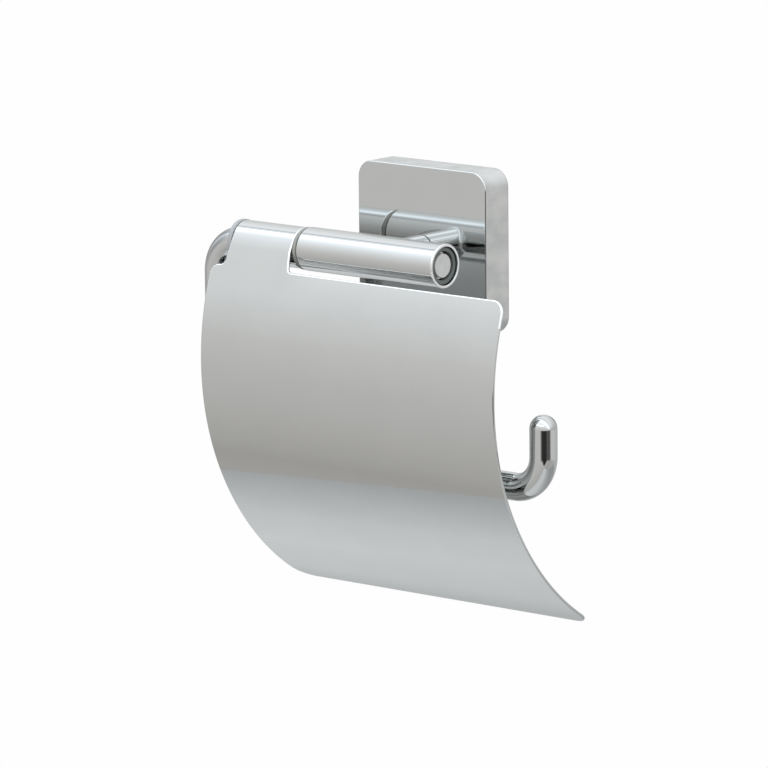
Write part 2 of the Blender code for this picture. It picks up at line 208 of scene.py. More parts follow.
def turned(shape, profile, origin, along, start=Z, sides=None):
    """A profile of (radius, height) turned about an axis. sides has a row's share of a hexagon."""
    points, normals = profile
    turns = 2 * math.pi * np.arange(ROUND) / ROUND
    out = np.cos(turns)[:, None] * start + np.sin(turns)[:, None] * np.cross(along, start)
    radii = points[:, :1] * np.ones(len(turns))
    if sides is not None:
        sixth = math.pi / 3
        hexagon = math.cos(sixth / 2) / np.cos(turns % sixth - sixth / 2)
        radii = radii * (1 + np.array(sides)[:, None] * (hexagon - 1))
    grid = origin + radii[..., None] * out[None] + points[:, 1][:, None, None] * along
    facing = normals[:, :1, None] * out[None] + normals[:, 1][:, None, None] * along
    shape.patch(grid, facing, around=True)


def holed(shape, surface, across, along, holes):
    """A surface over a grid of its two coordinates, with a round opening in each block of cells.

    A hole is (across range, along range, rim), and rim(turns) gives its edge. Returns each hole's turns.
    """
    first, second = np.meshgrid(across, along, indexing="ij")
    keep = np.ones((len(across) - 1, len(along) - 1), bool)
    all_turns = []
    for (left, right), (low, high), rim in holes:
        rows = np.flatnonzero((across > left - 1e-9) & (across < right + 1e-9))
        columns = np.flatnonzero((along > low - 1e-9) & (along < high + 1e-9))
        keep[rows[0] : rows[-1], columns[0] : columns[-1]] = False
        us, vs = across[rows], along[columns]
        ends_u, ends_v = np.full(len(vs) - 1, us[-1]), np.full(len(us) - 1, vs[-1])
        around_u = np.concatenate([ends_u, us[:0:-1], ends_u * 0 + us[0], us[:-1]])
        around_v = np.concatenate([vs[:-1], ends_v, vs[:0:-1], ends_v * 0 + vs[0]])
        middle_u, middle_v = (us[0] + us[-1]) / 2, (vs[0] + vs[-1]) / 2
        wide, tall = us[-1] - us[0], vs[-1] - vs[0]
        turns = np.arctan2((around_v - middle_v) / tall, (around_u - middle_u) / wide)
        rim_u, rim_v = rim(turns)
        share = np.linspace(0, 1, 7)[:, None]
        ring_u, ring_v = rim_u + share * (around_u - rim_u), rim_v + share * (around_v - rim_v)
        shape.patch(*surface(ring_u, ring_v), around=True)
        all_turns.append(turns)
    shape.patch(*surface(first, second), keep=keep)
    return all_turns


def lines(*stops):
    """Grid lines through stops, each (value, cells up to it) after the first."""
    made = [np.array([stops[0]], float)]
    for value, cells in stops[1:]:
        made.append(np.linspace(made[-1][-1], value, cells + 1)[1:])
    return np.concatenate(made)


# Materials


def node_of(tree, kind, **values):
    made = tree.nodes.new(kind)
    for name, value in values.items():
        setattr(made, name, value)
    return made


def noise(tree, scale, detail=2.0, stretch=(1, 1, 1)):
    """Noise in the object's own coordinates, its features about 1/scale metres across."""
    where = node_of(tree, "ShaderNodeTexCoord")
    sized = node_of(tree, "ShaderNodeMapping")
    sized.inputs["Scale"].default_value = stretch
    made = node_of(tree, "ShaderNodeTexNoise")
    made.inputs["Scale"].default_value = scale
    made.inputs["Detail"].default_value = detail
    tree.links.new(where.outputs["Object"], sized.inputs["Vector"])
    tree.links.new(sized.outputs["Vector"], made.inputs["Vector"])
    return made.outputs["Fac"]


def between(tree, value, low, high, start=0.0, end=1.0):
    made = node_of(tree, "ShaderNodeMapRange")
    for name, number in (("From Min", start), ("From Max", end), ("To Min", low), ("To Max", high)):
        made.inputs[name].default_value = number
    tree.links.new(value, made.inputs["Value"])
    return made.outputs["Result"]


def mixed(tree, value, first, second, start=0.3, end=0.7):
    made = node_of(tree, "ShaderNodeValToRGB")
    made.color_ramp.elements[0].position = start
    made.color_ramp.elements[0].color = (*first, 1)
    made.color_ramp.elements[1].position = end
    made.color_ramp.elements[1].color = (*second, 1)
    tree.links.new(value, made.inputs["Fac"])
    return made.outputs["Color"]


def bumped(tree, shader, *layers):
    """Bumps laid over each other, each (height value, depth in metres)."""
    last = None
    for height, depth in layers:
        made = node_of(tree, "ShaderNodeBump")
        made.inputs["Distance"].default_value = depth
        tree.links.new(height, made.inputs["Height"])
        if last:
            tree.links.new(last, made.inputs["Normal"])
        last = made.outputs["Normal"]
    tree.links.new(last, shader.inputs["Normal"])


def new_look(name):
    made = bpy.data.materials.new(name)
    made.use_nodes = True
    return made, made.node_tree, made.node_tree.nodes["Principled BSDF"]


CHROME = ((0.546, 0.557, 0.551), (0.562, 0.572, 0.566))


def chrome(name, wave, fine, dull=0.085):
    """Bright chrome plate: a hint of polishing waves, fine grain, and wipe marks up to dull in its gloss."""
    made, tree, shader = new_look(name)
    shader.inputs["Metallic"].default_value = 1
    tree.links.new(mixed(tree, noise(tree, 60, 3), *CHROME), shader.inputs["Base Color"])
    smear = noise(tree, 45, 5, (1, 1, 0.25))
    tree.links.new(between(tree, smear, 0.3 * dull, dull, 0.35, 0.75), shader.inputs["Roughness"])
    bumped(tree, shader, (noise(tree, 110, 1), wave), (noise(tree, 2500, 3, (1, 1, 0.08)), fine))
    return made


def mix_of(tree, value, first, second, kind):
    made = node_of(tree, "ShaderNodeMix", data_type=kind)
    ends = (2, 3) if kind == "FLOAT" else (6, 7)
    tree.links.new(value, made.inputs[0])
    for socket, source in zip(ends, (first, second)):
        tree.links.new(source, made.inputs[socket])
    return made.outputs[0 if kind == "FLOAT" else 2]


def polished_front(name, wave):
    """Chrome with a mirror front and satin sides, their grain lying along the wall."""
    made, tree, shader = new_look(name)
    shader.inputs["Metallic"].default_value = 1
    where = node_of(tree, "ShaderNodeTexCoord")
    parts = node_of(tree, "ShaderNodeSeparateXYZ")
    tree.links.new(where.outputs["Object"], parts.inputs["Vector"])
    edge = PLATE_FRONT_Y + 0.6 * MM
    side = between(tree, parts.outputs["Y"], 0, 1, edge, edge + SOFT)
    grain = noise(tree, 900, 5, (1, 0.25, 1))
    mottle = noise(tree, 190, 4, (1, 0.6, 1))
    front_colour = mixed(tree, noise(tree, 60, 3), *CHROME)
    side_colour = mixed(tree, mottle, (0.57, 0.58, 0.57), (0.68, 0.685, 0.67), 0.34, 0.66)
    tree.links.new(mix_of(tree, side, front_colour, side_colour, "RGBA"), shader.inputs["Base Color"])
    front_gloss = between(tree, noise(tree, 45, 5, (1, 1, 0.25)), 0.025, 0.07, 0.35, 0.75)
    side_gloss = between(tree, grain, 0.3, 0.46, 0.3, 0.7)
    tree.links.new(mix_of(tree, side, front_gloss, side_gloss, "FLOAT"), shader.inputs["Roughness"])
    flat = between(tree, noise(tree, 1, 0), 0.5, 0.5)
    bumped(
        tree,
        shader,
        (noise(tree, 110, 1), wave),
        (mix_of(tree, side, flat, grain, "FLOAT"), 0.000006),
    )
    return made


def satin(name, dark, light, roughness):
    """Paler metal with a fine grind, for the tube's end rims; on the sheet's upper cut edges it is a painted
    highlight.
    """
    made, tree, shader = new_look(name)
    shader.inputs["Metallic"].default_value = 1
    grind = noise(tree, 3000, 3, (1, 1, 0.3))
    tree.links.new(mixed(tree, noise(tree, 300, 3), dark, light), shader.inputs["Base Color"])
    tree.links.new(between(tree, grind, *roughness), shader.inputs["Roughness"])
    bumped(tree, shader, (grind, 0.000002))
    return made


def cast(name, dark, light, roughness):
    """Cast metal with its grainy skin."""
    made, tree, shader = new_look(name)
    shader.inputs["Metallic"].default_value = 1
    tree.links.new(mixed(tree, noise(tree, 900, 6), dark, light), shader.inputs["Base Color"])
    tree.links.new(between(tree, noise(tree, 2200, 4), *roughness), shader.inputs["Roughness"])
    bumped(tree, shader, (noise(tree, 1400, 5), 0.00006), (noise(tree, 260, 2), 0.00012))
    return made


def machined(name):
    """Steel with turning marks."""
    made, tree, shader = new_look(name)
    shader.inputs["Metallic"].default_value = 1
    colour = mixed(tree, noise(tree, 700, 4), (0.42, 0.42, 0.43), (0.56, 0.56, 0.57))
    tree.links.new(colour, shader.inputs["Base Color"])
    marks = noise(tree, 6000, 2, (0.1, 1, 0.1))
    tree.links.new(between(tree, marks, 0.22, 0.42), shader.inputs["Roughness"])
    bumped(tree, shader, (marks, 0.000004))
    return made


def plastic(name, dark, light, roughness):
    """Moulded plastic, matte, with a faint texture of its tool."""
    made, tree, shader = new_look(name)
    tree.links.new(mixed(tree, noise(tree, 350, 4), dark, light), shader.inputs["Base Color"])
    tree.links.new(between(tree, noise(tree, 1800, 3), *roughness), shader.inputs["Roughness"])
    bumped(tree, shader, (noise(tree, 5000, 3), 0.000012))
    return made


plate_chrome = polished_front("plate_chrome", 0.0000008)
tube_chrome = chrome("tube_chrome", 0.0000012, 0.0000001)
rod_chrome = chrome("rod_chrome", 0.000001, 0.000000005)
lid_chrome = chrome("lid_chrome", 0.0000012, 0.00000002, 0.04)
# A paler edge metal: on the tube's end rims, and as a painted highlight on the lid's upper cut edges
pale_edge_and_painted_highlight = satin("pale_edge_and_painted_highlight", (0.82, 0.83, 0.83), (0.9, 0.91, 0.91), (0.22, 0.34))
zinc = cast("zinc", (0.36, 0.37, 0.38), (0.47, 0.48, 0.49), (0.42, 0.6))
steel = machined("steel")
grey_plastic = plastic("dark_bush", (0.1, 0.113, 0.105), (0.132, 0.146, 0.136), (0.45, 0.6))
pale_plastic = plastic("pale_cap", (0.515, 0.51, 0.485), (0.575, 0.57, 0.545), (0.5, 0.65))
washer_plastic = plastic("washer", (0.34, 0.345, 0.35), (0.39, 0.395, 0.4), (0.5, 0.65))
beige_plastic = plastic("beige_ring", (0.27, 0.27, 0.245), (0.33, 0.325, 0.295), (0.5, 0.65))


# Arm: tube, post and the fillet between them


def tube_surface(radius, facing):
    """The cross tube as a surface over X and the turn about its axis, from the wall side."""

    def surface(x, turn):
        out = np.cos(turn)[..., None] * Y + np.sin(turn)[..., None] * Z
        return AXIS + x[..., None] * X + radius * out, facing * out

    return surface


def grub_rim(radius):
    """The edge that the grub screw's hole cuts in a tube, as X and turn about the tube's axis."""

    def rim(turns):
        down = np.arcsin(-GRUB_HOLE_R * np.sin(turns) / radius)
        return GRUB_X + GRUB_HOLE_R * np.cos(turns), -math.pi / 2 - down

    return rim


def post_fillet(turns):
    """Where the fillet lands on the tube and leaves the post, for turns about the post from +X."""
    sine = np.sin(turns) ** 2
    low, high = np.full(len(turns), POST_R), np.full(len(turns), POST_R + POST_FILLET)
    for _ in range(50):
        radius = (low + high) / 2
        rise = np.sqrt(TUBE_R**2 - radius**2 * sine)
        leans = radius * sine / np.hypot(radius * sine, rise)
        past = radius + POST_FILLET * leans > POST_R + POST_FILLET
        high = np.where(past, radius, high)
        low = np.where(past, low, radius)
    return radius, rise, leans


def make_arm():
    shape = Shape()
    block, swing = 9 * MM, 1.25
    grub_block, grub_swing = 3.4 * MM, 0.42

    def post_rim(turns):
        radius, rise, _ = post_fillet(turns)
        return radius * np.cos(turns), np.arctan2(radius * np.sin(turns), rise)

    turns_along = lines(
        -math.pi,
        (-math.pi / 2 - grub_swing, 8),
        (-math.pi / 2 + grub_swing, 12),
        (swing, 48),
        (math.pi, 32),
    )
    near = np.searchsorted(turns_along, -swing)
    turns_along[near] = -swing
    low = turns_along[turns_along < -swing + 1e-9]
    high = turns_along[turns_along > swing + 1e-9]
    turns_along = np.concatenate([low, np.linspace(-swing, swing, 33)[1:], high])
    left, right = TUBE_LEFT + TUBE_EDGE, TUBE_RIGHT - TUBE_EDGE
    grub_left, grub_right = GRUB_X - grub_block, GRUB_X + grub_block
    grub_block_at = ((grub_left, grub_right), (-math.pi / 2 - grub_swing, -math.pi / 2 + grub_swing))
    turns, grub_turns = holed(
        shape,
        tube_surface(TUBE_R, 1),
        lines(left, (-block, 4), (block, 24), (grub_left, 3), (grub_right, 12), (right, 1)),
        turns_along,
        [((-block, block), (-swing, swing), post_rim), (*grub_block_at, grub_rim(TUBE_R))],
    )
    inner_left, inner_right = TUBE_LEFT + SOFT, TUBE_RIGHT - SOFT
    inner_lines = lines(inner_left, (grub_left, 4), (grub_right, 12), (inner_right, 1))
    inner_hole = (*grub_block_at, grub_rim(TUBE_BORE_R))
    holed(shape, tube_surface(TUBE_BORE_R, -1), inner_lines, turns_along, [inner_hole])
    walls = []
    for radius in (TUBE_R, TUBE_BORE_R):
        x, turn = grub_rim(radius)(grub_turns)
        walls.append(tube_surface(radius, 1)(x, turn)[0])
    inwards = np.stack([GRUB_X - walls[0][:, 0], AXIS[1] - walls[0][:, 1], 0 * grub_turns], axis=-1)
    shape.patch(np.stack(walls), np.stack([unit(inwards)] * 2), around=True)
    rim = rounded(
        [
            (TUBE_BORE_R, -2 * SOFT, 0),
            (TUBE_BORE_R, 0, SOFT),
            (TUBE_R, 0, TUBE_EDGE),
            (TUBE_R, -2 * TUBE_EDGE, 0),
        ],
        steps=6,
    )
    points, normals = rim[0][1:-1], rim[1][1:-1]
    for side, end in ((-1, TUBE_LEFT), (1, TUBE_RIGHT)):
        out = np.cos(turns_along)[:, None] * Y + np.sin(turns_along)[:, None] * Z
        grid = AXIS + points[:, :1, None] * out[None] + (end + side * points[:, 1])[:, None, None] * X
        facing = normals[:, :1, None] * out[None] + side * normals[:, 1][:, None, None] * X
        shape.patch(grid, facing, slot=1)

    radius, rise, leans = post_fillet(turns)
    upright = np.sqrt(1 - leans**2)
    middle = rise + POST_FILLET * upright
    begin = np.arctan2(-upright, -leans)
    share = np.linspace(0, 1, 13)[:, None]
    bend = begin + share * (-math.pi - begin)
    out = np.cos(turns)[:, None] * X + np.sin(turns)[:, None] * Z
    from_post = POST_R + POST_FILLET + POST_FILLET * np.cos(bend)
    height = middle + POST_FILLET * np.sin(bend)
    fillet = AXIS + from_post[..., None] * out[None] + height[..., None] * Y
    along = np.gradient(fillet, axis=0)
    around = np.roll(fillet, -1, axis=1) - np.roll(fillet, 1, axis=1)
    facing = unit(np.cross(along, around))
    facing *= np.sign(np.einsum("ijk,jk->ij", facing, out))[..., None]
    facing[0] = tube_surface(TUBE_R, 1)(*post_rim(turns))[1]
    facing[-1] = out
    shape.patch(fillet, facing, around=True)
    foot = POST_FOOT_Y - AXIS[1]
    edge = 0.07 * MM
    rings, ring_normals = [fillet[-1]], [out]
    post = rounded(
        [
            (POST_R, foot - 3 * edge, 0),
            (POST_R, foot, edge),
            (ARM_HOLE_R, foot, SOFT),
            (ARM_HOLE_R, ARM_HOLE_END_Y - AXIS[1], 0),
            (0, ARM_HOLE_END_Y - AXIS[1], 0),
        ]
    )
    for (from_axis, up), (lean, rises) in zip(*post):
        rings.append(AXIS + from_axis * out + up * Y)
        ring_normals.append(-(lean * out + rises * Y))
    shape.patch(np.stack(rings), np.stack(ring_normals), around=True)
    shape.piece("arm_tube_and_post", (tube_chrome, pale_edge_and_painted_highlight), "holder", "arm")


# Rod


def make_rod():
    """The roll rod: its middle line's points, with the way along it at each, swept by its round section."""
    half = ROD_HIGH[0] - ROD_R
    low = ROD_LOW[2] + ROD_R
    inner, bottom = half - ROD_BEND, low + ROD_BEND
    spots, ways, shares, tips = [], [], [], []

    def add(spot, way, share=1.0, tip=0.0):
        spots.append(AXIS + np.array([spot[0], 0, spot[1]]))
        ways.append(np.array([way[0], 0, way[1]]))
        shares.append(share)
        tips.append(tip)

    edge = 0.3 * MM
    for x in np.linspace(ROD_END_X - edge, -inner, 12):
        add((x, 0), (-1, 0))
    for centre, start in (((-inner, -ROD_BEND), 90), ((-inner, bottom), 180), ((inner, bottom), 270)):
        for turn in np.radians(np.linspace(start, start + 90, 31)):
            spot = (centre[0] + ROD_BEND * math.cos(turn), centre[1] + ROD_BEND * math.sin(turn))
            add(spot, (-math.sin(turn), math.cos(turn)))
    top = HOOK_TOP_Z - ROD_R
    for rise in np.radians(np.linspace(0, 90, 17)):
        add((half, top + ROD_R * math.sin(rise)), (0, 1), math.cos(rise), math.sin(rise))
    spots, ways = np.array(spots), np.array(ways)
    shares, tips = np.array(shares)[:, None, None], np.array(tips)[:, None, None]
    turns = 2 * math.pi * np.arange(96) / 96
    sideways = np.cross(ways, Y)
    out = np.cos(turns)[None, :, None] * sideways[:, None] + np.sin(turns)[None, :, None] * Y
    shape = Shape()
    shape.patch(spots[:, None] + ROD_R * shares * out, shares * out + tips * ways[:, None], around=True)
    end = rounded(
        [
            (ROD_HOLE_R, ROD_END_X - ROD_HOLE_DEPTH, 0),
            (ROD_HOLE_R, ROD_END_X, 0),
            (ROD_R, ROD_END_X, edge),
            (ROD_R, ROD_END_X - 2 * edge, 0),
        ]
    )
    points, normals = end[0][:-1], end[1][:-1]
    grid = AXIS + points[:, :1, None] * out[0][None] + points[:, 1][:, None, None] * X
    facing = normals[:, :1, None] * out[0][None] + normals[:, 1][:, None, None] * X
    shape.patch(grid, facing, around=True)
    hole_end = AXIS + (ROD_END_X - ROD_HOLE_DEPTH) * X
    floor = np.stack([grid[0], np.broadcast_to(hole_end, grid[0].shape)])
    shape.patch(floor, np.broadcast_to(X, floor.shape), around=True)
    shape.piece("rod", (rod_chrome,), "holder", "roll_rod")


# Lid


# Lengths along the sheet from its lower edge
LOW_LENGTH = LID_LOW_ARC_R * (LID_END - LID_CHANGE)
BARREL_FROM = LOW_LENGTH + LID_ARC_R * (LID_CHANGE + LID_LEAVES)
SHEET_LENGTH = BARREL_FROM + BARREL_R * CURL_TURN
ARC_CENTRE = (LID_ARC_R - BARREL_R) * (math.cos(LID_LEAVES) * Y - math.sin(LID_LEAVES) * Z)
CHANGE_WAY = math.cos(LID_CHANGE) * Y + math.sin(LID_CHANGE) * Z
LOW_CENTRE = ARC_CENTRE + (LID_LOW_ARC_R - LID_ARC_R) * CHANGE_WAY

# Where the front face lies flatter near the barrel: from which turn of its normal, down from straight ahead,
# how much of the turn beyond that is left, and over what turn and width it comes in
FLAT_TURN = math.radians(-16.5)
FLAT_LEFT = 0.15
FLAT_FADE = math.radians(3)
FLAT_X, FLAT_X_FADE = -18 * MM, 16 * MM

# The panel's cells to the left of the tab, under it and to its right
PANEL_COLUMNS = (3, 10, 22)
UNDER_TAB = slice(PANEL_COLUMNS[0], PANEL_COLUMNS[0] + PANEL_COLUMNS[1] + 1)


def on_sheet(x, length, depth):
    """Points at a depth under the sheet's front face, and that face's normals.

    They are given by X and by the length along the sheet from its lower edge.
    """
    low, curled = (length < LOW_LENGTH)[..., None], (length > BARREL_FROM)[..., None]
    slope = LID_CHANGE - (np.minimum(length, BARREL_FROM) - LOW_LENGTH) / LID_ARC_R
    slope = np.where(length < LOW_LENGTH, LID_END - length / LID_LOW_ARC_R, slope)
    turn = math.pi + slope - np.maximum(length - BARREL_FROM, 0) / BARREL_R
    out = np.cos(turn)[..., None] * Y + np.sin(turn)[..., None] * Z
    centre = np.where(curled, 0, np.where(low, LOW_CENTRE, ARC_CENTRE))
    radius = np.where(curled, BARREL_R, np.where(low, LID_LOW_ARC_R, LID_ARC_R))
    return AXIS + x[..., None] * X + centre + (radius - np.asarray(depth)[..., None]) * out, out


def settled(x, length, out):
    """The front face's normals where the sheet lies flatter, from the barrel down past the tab."""
    turn = np.arctan2(-out @ Z, -out @ Y)  # from straight ahead, downwards
    eased = FLAT_TURN + FLAT_LEFT * (turn - FLAT_TURN)
    wanted = (turn < FLAT_TURN) & (length < BARREL_FROM + BARREL_R * math.pi / 2)
    across = np.clip((FLAT_X - x) / FLAT_X_FADE, 0, 1)
    share = across * np.clip((turn + LID_LEAVES) / FLAT_FADE, 0, 1) * wanted
    turn = turn + share * (eased - turn)
    return -np.cos(turn)[..., None] * Y - np.sin(turn)[..., None] * Z


def length_at(z):
    """The length along the sheet where its front face has this height from the hinge axis, near the tab."""
    return LOW_LENGTH + LID_ARC_R * (LID_CHANGE - np.arcsin((ARC_CENTRE[2] - z) / LID_ARC_R))


def sheet_outline(inset):
    """The lid's two grids of X and length, the panel and the tab above it, a little inside its outline."""
    half = LID_HALF - inset
    base_left, base_right = TAB_LEFT - TAB_FILLETS[0], TAB_RIGHT + TAB_FLARE + TAB_FILLETS[1]
    columns = lines(-half, *zip((base_left, base_right, half), PANEL_COLUMNS))
    middle = np.clip((columns - base_left) / (base_right - base_left), 0, 1)
    rows = []
    for turn in np.radians(np.linspace(90, 0, 13)):
        length = BOTTOM_CORNER - (BOTTOM_CORNER - inset) * math.sin(turn)
        width = LID_HALF - BOTTOM_CORNER + (BOTTOM_CORNER - inset) * math.cos(turn)
        rows.append((columns * width / half, np.full(len(columns), length)))
    corner_low = [length_at(SHOULDER_Z - corner) for corner in TOP_CORNERS]
    starts = corner_low[0] + middle * (corner_low[1] - corner_low[0])
    for share in np.linspace(0, 1, 61)[1:]:
        rows.append((columns, BOTTOM_CORNER + share * (starts - BOTTOM_CORNER)))
    for turn in np.radians(np.linspace(0, 90, 13)[1:]):
        ends, edges = [], []
        for corner in TOP_CORNERS:
            ends.append(length_at(SHOULDER_Z - corner + (corner - inset) * math.sin(turn)))
            edges.append(LID_HALF - corner + (corner - inset) * math.cos(turn))
        left = base_left + (columns - base_left) * (edges[0] + base_left) / (half + base_left)
        right = base_right + (columns - base_right) * (edges[1] - base_right) / (half - base_right)
        x = np.where(columns < base_left, left, np.where(columns > base_right, right, columns))
        rows.append((x, ends[0] + middle * (ends[1] - ends[0])))
    panel = np.stack([np.stack(row, axis=-1) for row in rows])
    share = middle[UNDER_TAB]
    tab = [panel[-1, UNDER_TAB]]
    for turn in np.radians(np.linspace(-90, 0, 11)[1:]):
        ends, edges = [], []
        for fillet in TAB_FILLETS:
            ends.append(length_at(SHOULDER_Z + fillet + (fillet + inset) * math.sin(turn)))
            edges.append((fillet + inset) * math.cos(turn))
        left, right = base_left + edges[0], base_right - edges[1]
        length = ends[0] + share * (ends[1] - ends[0])
        tab.append(np.stack([left + share * (right - left), length], axis=-1))
    left, right, begin = TAB_LEFT + inset, TAB_RIGHT - inset, tab[-1][:, 1]
    flare_end = length_at(TAB_FLARE_Z)
    for step in np.linspace(0, 1, 7)[1:]:
        wide = right + (1 - step) * TAB_FLARE - left
        tab.append(np.stack([left + share * wide, begin + step * (flare_end - begin)], axis=-1))
    for length in lines(flare_end, (BARREL_FROM, 3), (SHEET_LENGTH - inset, 96))[1:]:
        tab.append(np.stack([left + share * (right - left), np.full(len(share), length)], axis=-1))
    return panel, np.stack(tab)


def sheet_border(panel, tab):
    """The outline's points in order, all the way round."""
    return np.concatenate(
        [
            panel[0],
            panel[1:, -1],
            panel[-1, UNDER_TAB.stop - 1 : -1][::-1],
            tab[1:, -1],
            tab[-1, :-1][::-1],
            tab[:-1, 0][::-1],
            panel[-1, : UNDER_TAB.start][::-1],
            panel[1:-1, 0][::-1],
        ]
    )


def make_lid():
    shape = Shape()
    inner = sheet_outline(SHEET_EDGE)
    for depth in (0, SHEET):
        for grid in inner:
            points, out = on_sheet(grid[..., 0], grid[..., 1], np.full(grid.shape[:2], depth))
            shape.patch(points, -out if depth else settled(grid[..., 0], grid[..., 1], out))
    border, inside = sheet_border(*sheet_outline(0)), sheet_border(*inner)
    level = np.zeros(len(border))
    outwards = unit(on_sheet(*border.T, level)[0] - on_sheet(*inside.T, level)[0])
    rings, ring_normals = [], []
    for turn in np.radians([*np.linspace(0, 90, EDGE_STEPS), *np.linspace(90, 180, EDGE_STEPS)]):
        inset = SHEET_EDGE * (1 - math.sin(turn))
        depth = SHEET_EDGE * (1 - math.cos(turn))
        if len(rings) >= EDGE_STEPS:
            depth = SHEET - SHEET_EDGE * (1 + math.cos(turn))
        points, out = on_sheet(*sheet_border(*sheet_outline(inset)).T, level + depth)
        rings.append(points)
        ring_normals.append(math.cos(turn) * out + math.sin(turn) * outwards)
    grid, facing = np.stack(rings), np.stack(ring_normals)
    # The upper front half of the sheet's cut edge gets the paler edge metal as a painted highlight; the lower edge
    # stays chrome.
    front_half = np.arange(len(grid) - 1)[:, None] < len(grid) // 2
    painted_highlight_edge = front_half & (grid[0, :, 2] > PAINTED_HIGHLIGHT_EDGE_Z)
    shape.patch(grid, facing, around=True, keep=~painted_highlight_edge)
    shape.patch(grid, facing, around=True, keep=painted_highlight_edge, slot=1)
    shape.piece("lid_sheet", (lid_chrome, pale_edge_and_painted_highlight), "lid", "lid")


# Rosette


def square_loop():
    """Points round the square between the rosette's corner centres, each with its way out."""
    half = PLATE_HALF - PLATE_CORNER
    side = lines(-half, (-GRUB_BLOCK, 6), (GRUB_BLOCK, 12), (half, 6))
    spots, ways = [], []
    for quarter in range(4):
        turn = math.pi * (quarter / 2 - 0.5)
        out = np.array([math.cos(turn), math.sin(turn)])
        along = np.array([-out[1], out[0]])
        for step in side:
            spots.append(half * out + step * along)
            ways.append(out)
        for bend in np.radians(np.linspace(0, 90, 13)[1:-1]):
            spots.append(half * (out + along))
            ways.append(math.cos(bend) * out + math.sin(bend) * along)
    spots.append(spots[0])
    ways.append(ways[0])
    return np.array(spots), np.array(ways)


def make_rosette():
    shape = Shape()
    spots, ways = square_loop()
    flat = np.stack([spots[:, 0], 0 * spots[:, 0], spots[:, 1]], axis=-1)
    out = np.stack([ways[:, 0], 0 * ways[:, 0], ways[:, 1]], axis=-1)
    turn = np.arctan2(spots[:, 1], spots[:, 0])
    circle = np.cos(turn)[:, None] * X + np.sin(turn)[:, None] * Z
    floor_y = PLATE_FRONT_Y + PLATE_WALL
    inner = PLATE_CORNER - PLATE_WALL
    centre_y = (BOX["rosette_grub_screw"][0][1] + BOX["rosette_grub_screw"][1][1]) / 2
    depths = lines(-SOFT, (centre_y + GRUB_BLOCK, 1), (centre_y - GRUB_BLOCK, 12))
    for reach, stop, facing in ((PLATE_CORNER, PLATE_FRONT_Y + PLATE_EDGE, 1), (inner, floor_y, -1)):
        levels = lines(depths[0], *((depth, 1) for depth in depths[1:]), (stop, 2))
        keep = np.ones((len(levels) - 1, len(spots) - 1), bool)
        keep[1:13, 6:18] = False  # the block round the grub screw's hole
        points = flat[None] + reach * out[None] + levels[:, None, None] * Y
        shape.patch(points, facing * np.broadcast_to(out, points.shape), keep=keep)
    rims = []
    for reach, facing in ((PLATE_CORNER, -1), (inner, 1)):
        wall_z = -(PLATE_HALF - PLATE_CORNER + reach)

        def surface(x, y, wall_z=wall_z, facing=facing):
            points = x[..., None] * X + y[..., None] * Y + wall_z * Z
            return points, np.broadcast_to(facing * Z, points.shape)

        def rim(turns):
            return GRUB_HOLE_R * np.cos(turns), centre_y + GRUB_HOLE_R * np.sin(turns)

        xs = np.linspace(-GRUB_BLOCK, GRUB_BLOCK, 13)
        ys = np.linspace(centre_y - GRUB_BLOCK, centre_y + GRUB_BLOCK, 13)
        (turns,) = holed(shape, surface, xs, ys, [((xs[0], xs[-1]), (ys[0], ys[-1]), rim)])
        rims.append(surface(*rim(turns))[0])
    middle = np.array([0, centre_y, 0])
    inwards = unit((middle - rims[0]) * (1, 1, 0))
    shape.patch(np.stack(rims), np.stack([inwards, inwards]), around=True)
    front = rounded(
        [
            (PLATE_CORNER, PLATE_FRONT_Y + 2 * PLATE_EDGE, 0),
            (PLATE_CORNER, PLATE_FRONT_Y, PLATE_EDGE),
            (0, PLATE_FRONT_Y, 0),
        ],
        steps=8,
    )
    back = rounded(
        [
            (PLATE_CORNER, -2 * SOFT, 0),
            (PLATE_CORNER, 0, SOFT),
            (inner, 0, SOFT),
            (inner, -2 * SOFT, 0),
        ]
    )
    for (points, normals), stop in ((front, None), (back, -1)):
        points, normals = points[1:stop], normals[1:stop]
        grid = flat[None] + points[:, :1, None] * out[None] + points[:, 1][:, None, None] * Y
        facing = normals[:, :1, None] * out[None] + normals[:, 1][:, None, None] * Y
        shape.patch(grid, facing)
    for level, facing in ((PLATE_FRONT_Y, -1), (floor_y, 1)):
        ring = flat + inner * out * (facing > 0)
        share = np.linspace(0, 1, 7)[:, None, None]
        grid = ring + share * (ARM_HOLE_R * circle - ring) + level * Y
        shape.patch(grid, np.broadcast_to(facing * Y, grid.shape))
    hole = np.stack([ARM_HOLE_R * circle + PLATE_FRONT_Y * Y, ARM_HOLE_R * circle + floor_y * Y])
    shape.patch(hole, -np.stack([circle, circle]))
    shape.piece("rosette_plate", (plate_chrome,), "holder", "rosette")


# Rings, bushes, cap and screws


def turned_piece(name, node, look, corners, along=X, socket=0.0):
    """A turned piece in place of a CAD node, from (radius, place along the axis, rounding) corners.

    Its inside up to the socket's radius has six sides.
    """
    shape = Shape()
    profile = rounded(corners, closed=corners[0][0] > 0)
    low, high = BOX[node]
    middle = (low + high) / 2 * (1 - np.abs(along))
    start = X if along[2] else Z
    turned(shape, profile, middle, along, start, sides=profile[0][:, 0] < 1.001 * socket)
    body = next(body for body, nodes in frame["record"]["behaviour"]["bodies"].items() if node in nodes)
    shape.piece(name, (look,), body, node)


def ring_corners(node, bore, axis=0):
    """The square section of a ring that fills its CAD node's box, round an axis and open by a bore."""
    low, high = BOX[node]
    radius, near, far = high[2], low[axis], high[axis]
    return [(radius, far, SOFT), (radius, near, SOFT), (bore, near, SOFT), (bore, far, SOFT)]


